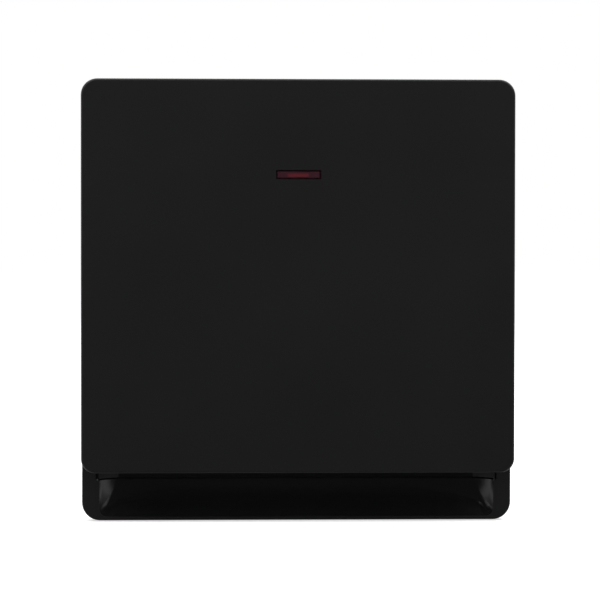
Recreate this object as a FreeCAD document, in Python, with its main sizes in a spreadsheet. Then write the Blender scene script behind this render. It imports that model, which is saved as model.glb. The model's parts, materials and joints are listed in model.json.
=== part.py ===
import FreeCAD, Part
import math
import os
import Sketcher

# Double pole switch with a full-width press plate, indicator window and scooped surround.
# X to the right, Y into the wall, Z up; the origin is midway between the two fixing slots,
# in the plane of the wall. All sizes are millimetres and degrees.

Vec = FreeCAD.Vector
Turn = FreeCAD.Rotation
doc = FreeCAD.newDocument("DoublePoleSwitch")
sheet = doc.addObject("Spreadsheet::Sheet", "Sizes")

sizes = {
    # Outside form
    "plateWide": 86.0,  # press plate and surround, side to side
    "plateHigh": 88.0,  # surround, top to bottom
    "rockerHigh": 78.0,  # press plate, top to bottom
    "frontOut": 12.0,  # face of the press plate in front of the wall
    "rockerSkirt": 3.0,  # edge of the press plate, front to back
    "rockerWall": 1.6,  # front wall of the press plate
    "rockerRim": 1.4,  # side wall of the press plate
    "topCorner": 3.25,
    "lowCorner": 2.8,
    "faceEdge": 0.45,  # rounded edge of the face
    "surroundTopOut": 8.6,  # surround in front of the wall at its top
    "surroundLowOut": 5.0,  # and over its bottom band
    "surroundCorner": 3.6,
    "lowEdge": 0.3,  # rounded front edge of the bottom band
    "railWide": 5.5,  # side rail of the surround
    "topRail": 2.2,
    "collarWall": 1.3,
    "collarRise": 1.1,
    "skinWall": 1.6,
    "snapHigh": 18.0,  # snaps between surround and carrier, above and below the middle
    "snapLong": 6.0,
    "snapOut": 0.5,
    "snapThick": 1.0,
    "snapIn": 0.8,
    "snapFit": 0.1,
    # Scoop under the press plate
    "cheekWide": 3.4,
    "lipHigh": 0.6,
    "scoopDeep": 3.9,
    "seamRise": 8.0,  # seam between surround and carrier, above the bottom edge
    "scoopFlare": 3.8,  # how far each side wall leans in
    "flareRadius": 14.0,
    "scoopBlend": 2.0,  # round between side wall and floor
    "scoopRound": 1.7,
    "lipHollowDeep": 2.3,  # hollow behind the lip
    "lipHollowHigh": 3.3,
    "lapHigh": 1.4,  # tongue of the surround behind the seam
    "lapThick": 0.45,
    "lapGap": 0.1,
    "troughHigh": 4.7,  # trough in the carrier above the seam
    "guardWall": 1.2,
    "guardOut": 6.2,
    "partGap": 0.3,  # gap between neighbouring mouldings
    "pressFit": 0.01,
    "seatFit": 0.05,
    "past": 1.0,  # how far a cut runs past the face where it starts
    # Indicator
    "lensDown": 18.9,  # window centre below the top edge
    "windowWide": 8.9,
    "windowHigh": 1.8,
    "lensGap": 0.1,
    "lensSink": 0.15,
    "lensEdge": 0.28,
    "flangeWide": 11.0,
    "flangeHigh": 4.0,
    "flangeThick": 1.0,
    "guideWide": 3.8,
    "guideFlangeWide": 14.0,
    "guideFlangeHigh": 6.6,
    "guideThick": 0.8,
    "lampRadius": 1.6,
    "lampLong": 9.5,
    "lampOut": 5.4,
    "forkSide": 2.4,
    "forkWide": 1.4,
    "forkHigh": 2.4,
    "lampClear": 1.5,
    "leadRadius": 0.3,
    "leadClear": 0.2,
    "leadBend": 1.5,
    "leadSide": 8.5,
    "leadHigh": 18.0,
    "resistorRadius": 1.1,
    "resistorLong": 6.3,
    "resistorIn": 3.5,
    # Hinge of the press plate
    "hingeHigh": 37.5,
    "hingeOut": 6.2,
    "pinRadius": 1.0,
    "pinFit": 0.04,
    "earInset": 10.5,  # ear from the side of the cradle
    "earWide": 4.4,
    "earRadius": 2.3,
    "bracketWide": 2.0,
    "bracketRadius": 2.2,
    # Inner cradle of the press plate
    "cradleInset": 8.5,  # cradle from the side of the press plate
    "cradleTop": 41.5,
    "cradleLow": 28.6,  # below the origin
    "cradleSkin": 1.2,
    "cradleSkirtOut": 6.8,
    "hookWall": 1.2,
    "hookWide": 6.0,
    "hookHigh": 24.0,  # upper pair of hooks above the origin
    "hookLow": -14.0,
    "hookBite": 0.4,
    "hookDeep": 1.1,
    "hookSlack": 0.05,
    "bossRadius": 3.0,
    "bossOut": 7.0,
    "ribOut": 7.6,
    # Carrier
    "carrierThick": 3.0,
    "slotSpacing": 60.3,
    "slotRadius": 2.1,
    "slotLong": 7.2,
    "slotSink": 1.0,
    "recessWide": 14.4,
    "recessHigh": 9.4,
    "cellHigh": 10.0,  # cells in the back of the carrier
    "cellRib": 1.2,
    "cellDeep": 1.6,
    "openingWide": 42.0,
    "openingHigh": 42.4,
    # Switch module
    "housingWide": 49.0,
    "housingHigh": 50.0,
    "housingDeep": 26.6,
    "housingWall": 1.6,
    "housingCorner": 2.0,
    "ringRadius": 3.4,  # sunk ring round each hole of the housing
    "ringSink": 0.5,
    "panelWide": 30.0,  # bare sunk panel in the back
    "panelHigh": 17.0,
    "panelSink": 0.3,
    "coverFlange": 1.2,
    "coverLap": 1.4,
    "coverRim": 1.5,
    "screwSide": 17.8,
    "screwHigh": 18.2,
    "screwPost": 2.4,
    "screwRadius": 1.05,
    "screwClear": 0.2,
    "screwHead": 2.5,
    "screwHeadHigh": 1.4,
    "screwLong": 16.0,
    "slotCut": 0.8,
    "slotDeep": 0.7,
    # Push rod and its finger
    "headRadius": 5.0,
    "headThick": 1.2,
    "pushGap": 0.3,
    "stemRadius": 2.4,
    "stemFit": 0.1,
    "stemEnd": 3.6,
    "wellRadius": 6.4,
    "wellWall": 1.6,
    "wellFloor": 1.0,
    "pushCoil": 4.2,
    "pushWire": 0.4,
    "pushTurns": 3.0,
    "fingerPivot": 2.2,
    "fingerPin": 0.5,
    "pinShort": 0.3,  # finger pin inside the stem, at each end
    "fingerEye": 1.3,
    "fingerThick": 1.0,
    "fingerTip": 0.75,
    "fingerLong": 3.65,
    "forkGap": 0.15,
    "forkRoom": 0.7,
    "coilSlack": 0.05,
    # Tumbler and contacts
    "tumblerIn": 12.5,
    "tumblerTilt": 12.0,
    "tumblerHub": 3.0,
    "tumblerLong": 31.0,
    "tumblerPin": 1.25,
    "camWide": 4.4,
    "camHorn": 4.6,
    "camPeak": 3.7,
    "camNotch": 2.0,
    "camNotchHigh": 3.5,
    "camHornHigh": 5.0,
    "camHigh": 6.5,
    "camRear": 2.0,
    "pinOver": 0.4,
    "poleSide": 11.0,
    "barrelRadius": 2.7,
    "barrelLong": 6.3,
    "plungerRadius": 1.55,
    "plungerFit": 0.05,
    "plungerStart": 3.2,
    "plungerReach": 8.3,
    "plungerBore": 1.05,
    "boreFloor": 0.3,
    "contactCoil": 0.75,
    "contactWire": 0.18,
    "contactTurns": 6.0,
    "seesawGap": 0.2,
    "seesawThick": 0.9,
    "seesawWide": 5.0,
    "seesawArm": 10.3,
    "seesawTilt": 10.0,
    "silverRadius": 1.6,
    "silverThick": 1.0,
    "silverAt": 8.5,
    "rightAngle": 90.0,
    "beadRadius": 0.8,  # round bead on which the see-saw rocks
    "saddleHalf": 1.5,
    "restAt": 9.0,
    "restHalf": 0.6,
    "contactGap": 0.1,
    # Terminals
    "blockWide": 7.5,
    "blockLong": 9.0,
    "blockDeep": 9.5,
    "blockLow": 13.5,
    "stripThick": 1.0,
    "cableRadius": 2.2,
    "cableFront": 3.7,  # cable bore behind the front of its block
    "entryRadius": 2.6,
    "clampRadius": 1.75,
    "clampFit": 0.05,
    "clampHead": 2.3,
    "clampRaise": 0.1,
    "clampSink": 0.3,
    "stripOver": 0.4,
    "bearingWide": 1.8,
    "bearingInner": 16.5,
    "bearingHigh": 3.5,
    "barrierWide": 1.4,
    "barrierClear": 1.5,
}


class Size:
    """A number together with the sheet formula that it comes from."""

    def __init__(self, value, text):
        self.value = value
        self.text = text

    def join(self, sign, other, value, swap=False):
        other = as_size(other)
        first, second = (other, self) if swap else (self, other)
        return Size(value(first.value, second.value), f"({first.text} {sign} {second.text})")

    def __add__(self, other):
        return self.join("+", other, lambda a, b: a + b)

    def __radd__(self, other):
        return self.join("+", other, lambda a, b: a + b, True)

    def __sub__(self, other):
        return self.join("-", other, lambda a, b: a - b)

    def __rsub__(self, other):
        return self.join("-", other, lambda a, b: a - b, True)

    def __mul__(self, other):
        return self.join("*", other, lambda a, b: a * b)

    def __rmul__(self, other):
        return self.join("*", other, lambda a, b: a * b, True)

    def __truediv__(self, other):
        return self.join("/", other, lambda a, b: a / b)

    def __neg__(self):
        return Size(-self.value, f"(0 - {self.text})")


def as_size(number):
    return number if isinstance(number, Size) else Size(float(number), repr(float(number)))


def sine(angle):
    return Size(math.sin(math.radians(angle.value)), f"sin({angle.text} * 1 deg)")


def cosine(angle):
    return Size(math.cos(math.radians(angle.value)), f"cos({angle.text} * 1 deg)")


class Sheet:
    """Each size by its name, as a Size that points at its cell."""


s = Sheet()
for row, (name, number) in enumerate(sizes.items(), 1):
    sheet.set(f"A{row}", name)
    sheet.set(f"B{row}", str(number))
    sheet.setAlias(f"B{row}", name)
    setattr(s, name, Size(number, f"Sizes.{name}"))
doc.recompute()


def bind(item, prop, size):
    item.setExpression(prop, as_size(size).text)


# Primitives and booleans

ALONG = {"x": Turn(Vec(0, 1, 0), 90), "y": Turn(Vec(1, 0, 0), -90), "z": Turn()}


def box(name, x, y, z):
    item = doc.addObject("Part::Box", name)
    for side, axis, (low, high) in zip(("Length", "Width", "Height"), "xyz", (x, y, z)):
        bind(item, side, as_size(high) - low)
        bind(item, f"Placement.Base.{axis}", low)
    return item


def rod(name, axis, low, high, radius, x=0, y=0, z=0):
    item = doc.addObject("Part::Cylinder", name)
    item.Placement = FreeCAD.Placement(Vec(), ALONG[axis])
    bind(item, "Radius", radius)
    bind(item, "Height", as_size(high) - low)
    spot = {"x": x, "y": y, "z": z, axis: low}
    for key, size in spot.items():
        bind(item, f"Placement.Base.{key}", size)
    return item


def fuse(name, *items):
    item = doc.addObject("Part::MultiFuse", name)
    item.Shapes = list(items)
    return item


def cut(name, base, *tools):
    item = doc.addObject("Part::Cut", name)
    item.Base = base
    item.Tool = tools[0] if len(tools) == 1 else fuse(name + "Tools", *tools)
    return item


def group(name, items):
    item = doc.addObject("Part::Compound", name)
    item.Links = list(items)
    return item


# Sketched features of a body

PLANES = {"x": "YZ_Plane", "y": "XZ_Plane", "z": "XY_Plane"}


def body(name):
    return doc.addObject("PartDesign::Body", name)


def sketch_on(owner, name, axis, at):
    """A sketch square to the axis. Its own axes are the other two, in the order x, y, z."""
    sketch = owner.newObject("Sketcher::SketchObject", name + "Sketch")
    plane = [part for part in owner.Origin.OriginFeatures if part.Role == PLANES[axis]][0]
    sketch.AttachmentSupport = [(plane, "")]
    sketch.MapMode = "FlatFace"
    bind(sketch, "AttachmentOffset.Base.z", -as_size(at) if axis == "y" else at)
    return sketch


def pin_point(sketch, geo, point, spot):
    for kind, key, size, line in (("DistanceX", "x", spot[0], -2), ("DistanceY", "y", spot[1], -1)):
        size = as_size(size)
        if abs(size.value) < 1e-9:
            sketch.addConstraint(Sketcher.Constraint("PointOnObject", geo, point, line))
            continue
        index = sketch.addConstraint(Sketcher.Constraint(kind, -1, 1, geo, point, size.value))
        label = f"{key}{geo}p{point}"
        sketch.renameConstraint(index, label)
        bind(sketch, f"Constraints.{label}", size)


def arc_between(first, last, radius):
    """A circle's arc from first to last: its centre is on the left for a positive radius."""
    chord = last - first
    across = Vec(-chord.y, chord.x, 0).normalize()
    height = math.sqrt(radius**2 - (chord.Length / 2) ** 2)
    centre = (first + last) / 2 + across * math.copysign(height, radius)
    start, end = (first, last) if radius > 0 else (last, first)
    angles = [math.atan2(p.y - centre.y, p.x - centre.x) for p in (start, end)]
    if angles[1] < angles[0]:
        angles[1] += 2 * math.pi
    return Part.ArcOfCircle(Part.Circle(centre, Vec(0, 0, 1), abs(radius)), *angles)


def draw(sketch, corners):
    """A closed outline. A corner is (u, v), or (u, v, radius) where an arc leads to the next."""
    spots = [Vec(as_size(c[0]).value, as_size(c[1]).value, 0) for c in corners]
    ends = []
    for number, corner in enumerate(corners):
        first, last = spots[number], spots[(number + 1) % len(spots)]
        if len(corner) == 2:
            sketch.addGeometry(Part.LineSegment(first, last))
            ends.append((1, 2))
            continue
        radius = corner[2]
        sketch.addGeometry(arc_between(first, last, radius.value))
        ends.append((1, 2) if radius.value > 0 else (2, 1))
        index = sketch.addConstraint(Sketcher.Constraint("Radius", number, abs(radius.value)))
        sketch.renameConstraint(index, f"r{number}")
        bind(sketch, f"Constraints.r{number}", radius if radius.value > 0 else -radius)
    for number, corner in enumerate(corners):
        before = number - 1 if number else len(corners) - 1
        here = (number, ends[number][0])
        sketch.addConstraint(Sketcher.Constraint("Coincident", before, ends[before][1], *here))
        pin_point(sketch, *here, corner[:2])


def extrude(owner, name, axis, low, high, cutting):
    kind = "PartDesign::Pocket" if cutting else "PartDesign::Pad"
    start = high if axis == "y" else low
    sketch = sketch_on(owner, name, axis, start)
    feature = owner.newObject(kind, name)
    feature.Profile = sketch
    feature.Reversed = cutting
    bind(feature, "Length", as_size(high) - low)
    return sketch


def pad(owner, name, axis, low, high, corners):
    draw(extrude(owner, name, axis, low, high, False), corners)


def pocket(owner, name, axis, low, high, corners):
    draw(extrude(owner, name, axis, low, high, True), corners)


def draw_disc(sketch, centre, radius):
    spot = Vec(as_size(centre[0]).value, as_size(centre[1]).value, 0)
    sketch.addGeometry(Part.Circle(spot, Vec(0, 0, 1), radius.value))
    index = sketch.addConstraint(Sketcher.Constraint("Radius", 0, radius.value))
    sketch.renameConstraint(index, "radius")
    bind(sketch, "Constraints.radius", radius)
    pin_point(sketch, 0, 3, centre)


def pad_disc(owner, name, axis, low, high, centre, radius):
    draw_disc(extrude(owner, name, axis, low, high, False), centre, radius)


def pocket_disc(owner, name, axis, low, high, centre, radius):
    draw_disc(extrude(owner, name, axis, low, high, True), centre, radius)


def rect(u, v):
    return [(u[0], v[0]), (u[1], v[0]), (u[1], v[1]), (u[0], v[1])]


def both(size):
    return (-as_size(size), as_size(size))


def mirrored(low, high, sign):
    """A span on the right of the middle, or the same span on the left for a sign of -1."""
    return (low, high) if sign > 0 else (-high, -low)


def edges_at(owner, **spot):
    """Names of the last feature's edges whose middle lies at these distances from the origin."""
    doc.recompute()
    found = []
    for number, edge in enumerate(owner.Tip.Shape.Edges, 1):
        middle = edge.valueAt((edge.FirstParameter + edge.LastParameter) / 2)
        if all(abs(abs(getattr(middle, key)) - abs(size.value)) < 1e-4 for key, size in spot.items()):
            found.append(f"Edge{number}")
    return found


def curved_edges(owner, radius):
    """Names of the curved edges round the last feature's cylinder face of this radius."""
    doc.recompute()
    shape = owner.Tip.Shape
    rims = [
        edge
        for face in shape.Faces
        if isinstance(face.Surface, Part.Cylinder) and abs(face.Surface.Radius - radius.value) < 1e-4
        for edge in face.Edges
        if not isinstance(edge.Curve, Part.Line)
    ]
    numbered = enumerate(shape.Edges, 1)
    return [f"Edge{number}" for number, edge in numbered if any(edge.isSame(rim) for rim in rims)]


def round_edges(owner, name, radius, names):
    base = owner.Tip
    fillet = owner.newObject("PartDesign::Fillet", name)
    fillet.Base = (base, names)
    bind(fillet, "Radius", radius)
    doc.recompute()


def bevel_edges(owner, name, size, names):
    base = owner.Tip
    bevel = owner.newObject("PartDesign::Chamfer", name)
    bevel.Base = (base, names)
    bind(bevel, "Size", size)
    doc.recompute()


# Levels and places that several pieces share

half = s.plateWide / 2
top = s.plateHigh / 2
rocker_low = top - s.rockerHigh
rocker_back = -s.frontOut + s.rockerSkirt
rocker_inner = -s.frontOut + s.rockerWall
window_side = half - s.railWide
window_top = top - s.topRail
seam = -top + s.seamRise
trough_top = seam + s.troughHigh
lens_high = top - s.lensDown
cradle_half = half - s.cradleInset
ear_inner = cradle_half - s.earInset
ear_outer = ear_inner + s.earWide
cradle_back = rocker_inner + s.cradleSkin
lens_back = rocker_inner + s.flangeThick
mouth = half - s.cheekWide
cover_front = -s.carrierThick - s.coverFlange
push_front = -s.bossOut + s.pushGap
push_under = push_front + s.headThick
inner_back = s.housingDeep - s.housingWall
seesaw_in = s.tumblerIn + s.plungerReach + s.seesawGap + s.seesawThick
strip_in = inner_back - s.stripThick
silver_in = seesaw_in + s.silverThick + s.contactGap
block_front = inner_back - s.blockDeep
block_high = s.blockLow + s.blockLong
clamp_high = s.blockLow + s.blockLong / 2
cable_in = block_front + s.cableFront
post_spots = [(x, z) for x in (-1, 1) for z in (-1, 1)]
hook_end = cradle_back + s.hookDeep
hooks = [
    ("HookLL", -1, s.hookLow),
    ("HookLH", -1, s.hookHigh),
    ("HookRL", 1, s.hookLow),
    ("HookRH", 1, s.hookHigh),
]
poles = {"line": -s.poleSide, "neutral": s.poleSide}

parts = []


def part(item, label, spot=None, turn=None):
    """Names a finished piece, and gives it its place and its tilt about the X axis."""
    item.Label = label
    if turn is not None:
        item.Placement = FreeCAD.Placement(Vec(), Turn(Vec(1, 0, 0), turn.value))
        bind(item, "Placement.Rotation.Angle", turn)
    for axis, size in zip("xyz", spot or ()):
        bind(item, f"Placement.Base.{axis}", size)
    parts.append(item)
    return item


def rocker_plate():
    plate = body("RockerPlate")
    pad(plate, "Slab", "y", -s.frontOut, rocker_back, rect(both(half), (rocker_low, top)))
    round_edges(plate, "TopCorners", s.topCorner, edges_at(plate, x=half, z=top))
    round_edges(plate, "LowCorners", s.lowCorner, edges_at(plate, x=half, z=rocker_low))
    round_edges(plate, "FaceEdge", s.faceEdge, edges_at(plate, y=s.frontOut))
    inner = rect(both(half - s.rockerRim), (rocker_low + s.rockerRim, top - s.rockerRim))
    pocket(plate, "Hollow", "y", rocker_inner, rocker_back, inner)
    window = rect(both(s.windowWide / 2), (lens_high - s.windowHigh / 2, lens_high + s.windowHigh / 2))
    pocket(plate, "Window", "y", -s.frontOut - s.past, rocker_inner, window)
    # Snap hooks that hold the cradle, two on each side
    outer = cradle_half + s.partGap + s.hookWall
    for name, sign, low in hooks:
        z = (low, low + s.hookWide)
        wall = mirrored(cradle_half + s.partGap, outer, sign)
        pad(plate, name + "Wall", "y", rocker_inner, hook_end, rect(wall, z))
        lip = mirrored(cradle_half - s.hookBite, outer, sign)
        pad(plate, name + "Lip", "y", cradle_back + s.hookSlack, hook_end, rect(lip, z))
    return part(plate, "rocker_plate")


def indicator_lens():
    lens = body("IndicatorLens")
    x = both(s.flangeWide / 2)
    z = (lens_high - s.flangeHigh / 2, lens_high + s.flangeHigh / 2)
    pad(lens, "Flange", "y", rocker_inner, lens_back, rect(x, z))
    reach = s.windowHigh / 2 - s.lensGap
    face = rect(both(s.windowWide / 2 - s.lensGap), (lens_high - reach, lens_high + reach))
    front = -s.frontOut + s.lensSink
    pad(lens, "Bar", "y", front, rocker_inner, face)
    bevel_edges(lens, "Bevel", s.lensEdge, edges_at(lens, y=front))
    return part(lens, "indicator_lens")


def light_guide():
    guide = body("LightGuide")
    x = both(s.guideFlangeWide / 2)
    z = (lens_high - s.guideFlangeHigh / 2, lens_high + s.guideFlangeHigh / 2)
    pad(guide, "Flange", "y", cradle_back, cradle_back + s.guideThick, rect(x, z))
    reach = s.windowHigh / 2
    nub = rect(both(s.guideWide / 2), (lens_high - reach, lens_high + reach))
    pad(guide, "Nub", "y", lens_back, cradle_back, nub)
    return part(guide, "light_guide")


def rocker_cradle():
    cradle = body("RockerCradle")
    outer = rect(both(cradle_half), (-s.cradleLow, s.cradleTop))
    skin = s.cradleSkin
    pad(cradle, "Block", "y", rocker_inner, -s.cradleSkirtOut, outer)
    inner = rect(both(cradle_half - skin), (-s.cradleLow + skin, s.cradleTop - skin))
    pocket(cradle, "Hollow", "y", cradle_back, -s.cradleSkirtOut, inner)
    for side, across in (("L", (-ear_outer, -ear_inner)), ("R", (ear_inner, ear_outer))):
        shank = rect((cradle_back, -s.hingeOut), (s.hingeHigh - s.earRadius, s.hingeHigh + s.earRadius))
        pad(cradle, f"Ear{side}", "x", *across, shank)
        pad_disc(cradle, f"EarEnd{side}", "x", *across, (-s.hingeOut, s.hingeHigh), s.earRadius)
    pocket_disc(cradle, "PinHoles", "x", *both(ear_outer + s.past), (-s.hingeOut, s.hingeHigh),
                s.pinRadius + s.pinFit)
    rib = skin / 2
    pad(cradle, "CrossRib", "y", cradle_back, -s.ribOut, rect(both(cradle_half - skin), both(rib)))
    guide_low = lens_high - s.guideFlangeHigh / 2 - s.partGap
    pad(cradle, "LongRib", "y", cradle_back, -s.ribOut, rect(both(rib), (-s.cradleLow + skin, guide_low)))
    pad_disc(cradle, "Boss", "y", cradle_back, -s.bossOut, (0, 0), s.bossRadius)
    gap = s.partGap
    for name, sign, low in hooks:
        bite = mirrored(cradle_half - s.hookBite - gap / 2, cradle_half + s.past, sign)
        pocket(cradle, name + "Notch", "y", cradle_back, hook_end + gap,
               rect(bite, (low - gap, low + s.hookWide + gap)))
    x = both(s.flangeWide / 2 + gap)
    z = (lens_high - s.flangeHigh / 2 - gap, lens_high + s.flangeHigh / 2 + gap)
    pocket(cradle, "LensOpening", "y", rocker_inner, cradle_back, rect(x, z))
    return part(cradle, "rocker_cradle")


def hinge_pins():
    inner = ear_inner - s.partGap - s.bracketWide
    outer = ear_outer + s.partGap + s.bracketWide
    spot = {"y": -s.hingeOut, "z": s.hingeHigh}
    pins = [
        rod("HingePinL", "x", -outer, -inner, s.pinRadius, **spot),
        rod("HingePinR", "x", inner, outer, s.pinRadius, **spot),
    ]
    return part(group("HingePins", pins), "hinge_pins")


def wedge_at(height):
    """Front of the surround at a height, as it slopes back behind the press plate."""
    return -s.surroundTopOut + (top - height) * (s.surroundTopOut - s.surroundLowOut) / s.rockerHigh


def scoop_cutter(name, low, high, round_floor):
    """The space of the scoop: a concave floor, and side walls that lean in as they go deeper."""
    form = body(name)
    floor = -s.surroundLowOut + s.scoopDeep
    front = -s.surroundTopOut
    profile = [
        (mouth, front),
        (mouth, -s.surroundLowOut, s.flareRadius),
        (mouth - s.scoopFlare, floor),
        (-mouth + s.scoopFlare, floor, s.flareRadius),
        (-mouth, -s.surroundLowOut),
        (-mouth, front),
    ]
    pad(form, name + "Sides", "z", low, high, profile)
    if round_floor:
        run = high - low
        radius = (run * run + s.scoopDeep * s.scoopDeep) / (2 * s.scoopDeep)
        waste = [
            (floor, high, -radius),
            (-s.surroundLowOut, low),
            (-s.surroundLowOut, low - s.past),
            (floor + s.past, low - s.past),
            (floor + s.past, high),
        ]
        pocket(form, name + "Floor", "x", *both(mouth + s.past), waste)
        round_edges(form, name + "Blend", s.scoopBlend, curved_edges(form, radius))
        radius = s.scoopRound
        for side, sign in (("L", -1), ("R", 1)):
            corner = [
                ((mouth - radius) * sign, low, radius * sign),
                (mouth * sign, low + radius),
                ((mouth + s.past) * sign, low + radius),
                ((mouth + s.past) * sign, low - s.past),
                ((mouth - radius) * sign, low - s.past),
            ]
            pocket(form, name + side, "y", front - s.past, floor + s.past, corner)
    return form


def snap_spots():
    """Name, side and lower end of each snap between surround and carrier."""
    return [
        (f"Snap{side}{end}", sign, s.snapHigh * way - s.snapLong / 2)
        for side, sign in (("L", -1), ("R", 1))
        for end, way in (("Low", -1), ("High", 1))
    ]


def surround_frame():
    frame = body("SurroundBody")
    step = rocker_low
    profile = [
        (0, -top),
        (-s.surroundLowOut, -top),
        (-s.surroundLowOut, step),
        (-s.surroundTopOut, top),
        (0, top),
    ]
    pad(frame, "Wedge", "x", -half, half, profile)
    round_edges(frame, "Corners", s.surroundCorner, edges_at(frame, x=half, z=top))
    crease = edges_at(frame, y=s.surroundLowOut, z=step)
    rims = [name for name in edges_at(frame, y=s.surroundLowOut) if name not in crease]
    round_edges(frame, "LowEdge", s.lowEdge, rims)
    reach = 2 * s.surroundTopOut
    pocket(frame, "Window", "y", -reach, s.past, rect(both(window_side), (seam, window_top)))
    apron = mouth + 2 * s.partGap
    pocket(frame, "ApronWindow", "y", -reach, s.past, rect(both(apron), (seam, trough_top + s.partGap)))
    rail_low = trough_top + s.partGap
    for side, sign in (("L", -1), ("R", 1)):
        collar = mirrored(window_side, window_side + s.collarWall, sign)
        raised = [
            (wedge_at(rail_low) + s.collarWall, rail_low),
            (wedge_at(rail_low) - s.collarRise, rail_low),
            (wedge_at(window_top) - s.collarRise, window_top),
            (wedge_at(window_top) + s.collarWall, window_top),
        ]
        pad(frame, f"Collar{side}", "x", *collar, raised)
        channel = mirrored(window_side + s.collarWall, half - s.skinWall, sign)
        ends = (rail_low + s.skinWall, top - s.surroundCorner)
        hollow = [
            (s.past, ends[0]),
            (wedge_at(ends[0]) + s.skinWall, ends[0]),
            (wedge_at(ends[1]) + s.skinWall, ends[1]),
            (s.past, ends[1]),
        ]
        pocket(frame, f"Channel{side}", "x", *channel, hollow)
    fit = s.snapFit
    for name, sign, low in snap_spots():
        across = mirrored(window_side - s.past, window_side + s.snapOut - s.partGap + fit, sign)
        y = (-s.snapIn - s.snapThick - fit, -s.snapIn + fit)
        pocket(frame, name, "y", *y, rect(across, (low - fit, low + s.snapLong + fit)))
    lip = -top + s.skinWall
    rise = lip + s.lipHollowHigh
    back = [(s.past, lip), (-s.lipHollowDeep, lip), (0, rise), (s.past, rise)]
    pocket(frame, "LipHollow", "x", *both(mouth - s.skinWall), back)
    tongue = rect(both(apron), (seam - s.lapHigh, seam + s.lapHigh))
    pad(frame, "Tongue", "y", -s.lapThick, as_size(0), tongue)
    scoop = scoop_cutter("ScoopForm", -top + s.lipHigh, seam, True)
    return part(cut("SurroundFrame", frame, scoop), "surround_frame")


def pocket_slot(owner, name, axis, low, high, middle, long, radius):
    """A slot with round ends that runs along the first of the sketch's own axes."""
    run = long / 2 - radius
    u, v = middle
    pocket(owner, name, axis, low, high, rect((u - run, u + run), (v - radius, v + radius)))
    pocket_disc(owner, name + "Near", axis, low, high, (u - run, v), radius)
    pocket_disc(owner, name + "Far", axis, low, high, (u + run, v), radius)


def carrier_plate():
    plate = body("CarrierBody")
    gap = s.partGap
    thick = s.carrierThick
    wall = as_size(0)
    side = window_side - gap
    low = seam + gap
    pad(plate, "Plate", "y", -thick, wall, rect(both(side), (low, window_top - gap)))
    apron = mouth + gap
    pad(plate, "Apron", "y", -s.surroundLowOut, wall, rect(both(apron), (low, trough_top)))
    guard = (trough_top, trough_top + s.guardWall)
    pad(plate, "Guard", "y", -s.guardOut, wall, rect(both(side), guard))
    rebate = rect(both(apron + s.past), (low - s.past, seam + s.lapHigh + s.lapGap))
    pocket(plate, "Rebate", "y", -s.lapThick - s.lapGap, s.past, rebate)
    for name, sign, start in snap_spots():
        across = mirrored(side - s.past, side + s.snapOut, sign)
        z = (start, start + s.snapLong)
        pad(plate, name, "y", -s.snapIn - s.snapThick, -s.snapIn, rect(across, z))
    for name, sign in (("L", -1), ("R", 1)):
        x = s.slotSpacing / 2 * sign
        recess = rect((x - s.recessWide / 2, x + s.recessWide / 2), both(s.recessHigh / 2))
        pocket(plate, "Recess" + name, "y", -thick, -thick + s.slotSink, recess)
        pocket_slot(plate, "Slot" + name, "y", -thick - s.past, s.past, (x, wall), s.slotLong, s.slotRadius)
    opening = rect(both(s.openingWide / 2), both(s.openingHigh / 2))
    pocket(plate, "Opening", "y", -thick - s.past, s.past, opening)
    # Cells in the back, between ribs
    rib = s.cellRib
    first = s.recessHigh / 2 + rib
    second = first + s.cellHigh + rib
    band = (second + s.cellHigh + rib, window_top - gap - rib)
    beside = (s.housingWide / 2 + rib, side - rib)
    rows = [(start, start + s.cellHigh) for start in (first, second)]
    cells = [(beside, mirrored(*row, way)) for row in rows for way in (-1, 1)]
    cells += [((rib / 2, side / 2 - rib / 2), band), ((side / 2 + rib / 2, side - rib), band)]
    for number, (across, z) in enumerate(cells):
        for name, sign in (("L", -1), ("R", 1)):
            pocket(plate, f"Cell{name}{number}", "y", -s.cellDeep, s.past, rect(mirrored(*across, sign), z))
    # Brackets on both sides of each hinge ear
    ear = (ear_inner - gap, ear_outer + gap)
    spans = ((ear[0] - s.bracketWide, ear[0]), (ear[1], ear[1] + s.bracketWide))
    for name, sign in (("L", -1), ("R", 1)):
        for number, span in enumerate(spans):
            across = mirrored(*span, sign)
            z = (s.hingeHigh - s.bracketRadius, s.hingeHigh + s.bracketRadius)
            pad(plate, f"Bracket{name}{number}", "x", *across, rect((-s.hingeOut, -thick), z))
            pad_disc(plate, f"BracketEnd{name}{number}", "x", *across,
                     (-s.hingeOut, s.hingeHigh), s.bracketRadius)
    pocket_disc(plate, "BracketHoles", "x", *both(ear[1] + s.bracketWide + s.past),
                (-s.hingeOut, s.hingeHigh), s.pinRadius + s.pressFit)
    # Two forks that hold the lamp
    for name, sign in (("L", -1), ("R", 1)):
        across = mirrored(s.forkSide, s.forkSide + s.forkWide, sign)
        pad(plate, "Fork" + name, "x", *across,
            rect((-s.lampOut, -thick), (lens_high - s.forkHigh, lens_high + s.forkHigh)))
    pocket_disc(plate, "LampSeat", "x", *both(s.forkSide + s.forkWide + s.past), (-s.lampOut, lens_high),
                s.lampRadius + s.seatFit)
    trough = scoop_cutter("TroughForm", low - s.past, trough_top, False)
    return part(cut("CarrierPlate", plate, trough), "carrier_plate")


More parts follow.
